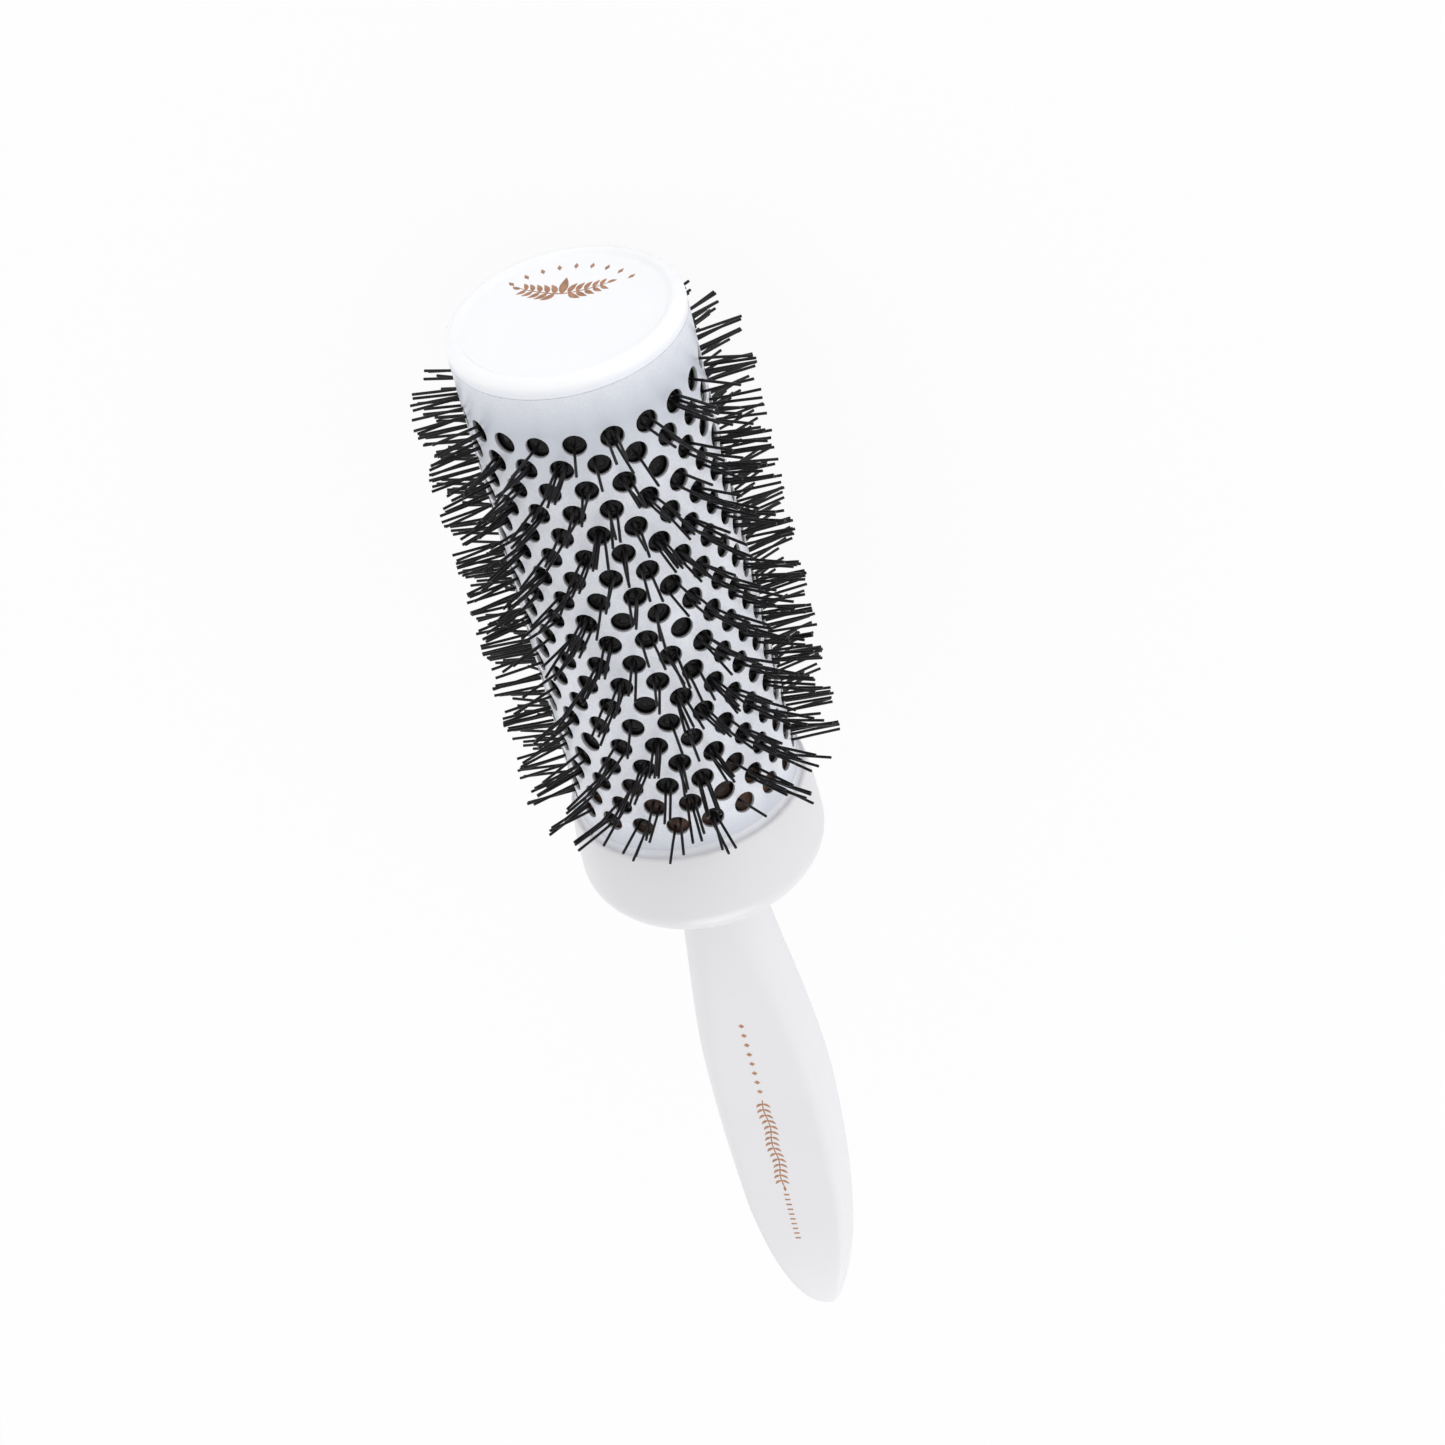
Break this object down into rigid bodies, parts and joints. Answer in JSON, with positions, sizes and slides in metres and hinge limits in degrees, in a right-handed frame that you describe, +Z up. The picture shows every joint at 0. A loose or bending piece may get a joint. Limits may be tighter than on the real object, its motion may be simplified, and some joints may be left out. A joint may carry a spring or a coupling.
{
  "type": "round barrel brush",
  "caption": "Vented round styling brush: perforated barrel with radial bristles, end cap, swelling collar and flat leaf-shaped handle on a threaded spine.",
  "frame": {"origin": "on the surface that the brush lies on, under the middle of its bounding box", "axes": "+X along the barrel's axis, from the handle towards the end cap; +Z up, out of the flat face of the handle; +Y completes the right-handed frame"},
  "size_m": [0.2704, 0.064, 0.0635],
  "materials": {
    "cap_white": "white moulded plastic, soft gloss",
    "core_black": "black moulded plastic, glossy",
    "pearl_coat": "pearl white ceramic coat on aluminium tube, fine speckle",
    "bristle_black": "black nylon, satin",
    "plug_brown": "brown moulded plastic, matte",
    "seam_grey": "light grey plastic, matte",
    "collar_white": "grey-white moulded plastic, semi gloss",
    "handle_white": "white satin soft-touch plastic",
    "insert_brass": "turned brass",
    "spine_steel": "bright zinc-plated steel"
  },
  "bodies": {
    "root": {"end_cap": "cap_white", "top_plug": "core_black", "barrel_sleeve": "pearl_coat", "bristle_bed_top": "bristle_black", "bristle_bed_right": "bristle_black", "bristle_bed_bottom": "bristle_black", "bristle_bed_left": "bristle_black", "core_frame": "core_black", "base_plug": "plug_brown", "barrel_ring": "seam_grey", "collar": "collar_white", "handle": "handle_white", "handle_insert": "insert_brass", "spine_rod": "spine_steel", "spine_washer": "spine_steel", "spine_nut": "spine_steel"}
  },
  "joints": []
}
